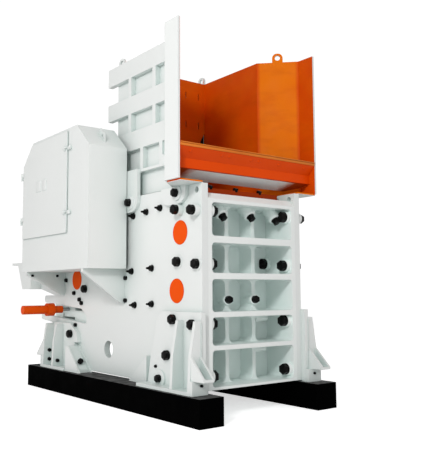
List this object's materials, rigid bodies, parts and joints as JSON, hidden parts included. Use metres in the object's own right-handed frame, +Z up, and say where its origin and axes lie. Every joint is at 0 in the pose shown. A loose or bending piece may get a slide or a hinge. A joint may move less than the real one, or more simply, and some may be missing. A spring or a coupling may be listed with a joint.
{
  "type": "jaw crusher",
  "caption": "Jaw crusher with a bolted plate frame, a flared feed hopper, guarded flywheels with hinged doors and wedge cylinders, standing on skid beams.",
  "frame": {"origin": "middle of the overall box on the ground, under the beams", "axes": "+X across the machine to the right seen from the feed side, +Y from the feed side to the motor side, +Z up"},
  "size_m": [2.398, 4.51, 3.894],
  "materials": {
    "white_paint": "satin white enamel",
    "orange_paint": "satin orange enamel",
    "hopper_paint": "orange enamel inside the hopper, white outside",
    "beam_black": "flat black paint",
    "manganese_steel": "as cast wear steel",
    "machined_steel": "machined and oiled",
    "grey_casting": "painted casting"
  },
  "bodies": {
    "frame": {"bearing_housing_left": "grey_casting", "bearing_housing_right": "grey_casting", "cheek_plate_left": "manganese_steel", "cheek_plate_right": "manganese_steel", "eccentric_shaft": "machined_steel", "fixed_jaw_die": "manganese_steel", "flywheel_left": "grey_casting", "flywheel_right": "grey_casting", "front_foot_left": "white_paint", "front_foot_right": "white_paint", "front_frame_casting": "white_paint", "front_frame_webs": "white_paint", "guard_brackets_left": "white_paint", "guard_brackets_right": "white_paint", "guard_left": "white_paint", "guard_right": "white_paint", "hopper_cheek_left": "hopper_paint", "hopper_cheek_right": "hopper_paint", "hopper_chute_plate": "white_paint", "hopper_flare_left": "hopper_paint", "hopper_flare_right": "hopper_paint", "hopper_floor_left": "hopper_paint", "hopper_floor_right": "hopper_paint", "hopper_front_lip": "orange_paint", "hopper_legs_left": "white_paint", "hopper_legs_right": "white_paint", "hopper_rear_wall": "hopper_paint", "hopper_ribs_left": "white_paint", "hopper_ribs_right": "white_paint", "hopper_wall_left": "hopper_paint", "hopper_wall_right": "hopper_paint", "jaw_clamp_bar": "orange_paint", "motor_base_cheek_left": "white_paint", "motor_base_cheek_right": "white_paint", "motor_platform": "white_paint", "rear_foot_left": "white_paint", "rear_foot_right": "white_paint", "rear_frame_casting": "white_paint", "rear_stop_left": "white_paint", "rear_stop_right": "white_paint", "setting_wedges": "grey_casting", "shear_keys_left": "orange_paint", "shear_keys_right": "orange_paint", "side_plate_left": "white_paint", "side_plate_right": "white_paint", "skid_beam_left": "beam_black", "skid_beam_right": "beam_black", "swing_jaw": "grey_casting", "swing_jaw_die": "manganese_steel", "tension_rod": "machined_steel", "toggle_plate": "grey_casting", "toggle_seat": "grey_casting", "wedge_cylinder_left": "orange_paint", "wedge_cylinder_right": "orange_paint"},
    "left_door": {"guard_door_left": "white_paint"},
    "right_door": {"guard_door_right": "white_paint"}
  },
  "joints": [
    {"name": "guard_door_left_hinge", "type": "hinge", "parent": "frame", "child": "left_door", "pos_m": [-1.187, 1.03, 2.3], "axis": [0, 0, -1], "range_deg": [0, 110]},
    {"name": "guard_door_right_hinge", "type": "hinge", "parent": "frame", "child": "right_door", "pos_m": [1.187, 1.03, 2.3], "axis": [0, 0, 1], "range_deg": [0, 110]}
  ]
}
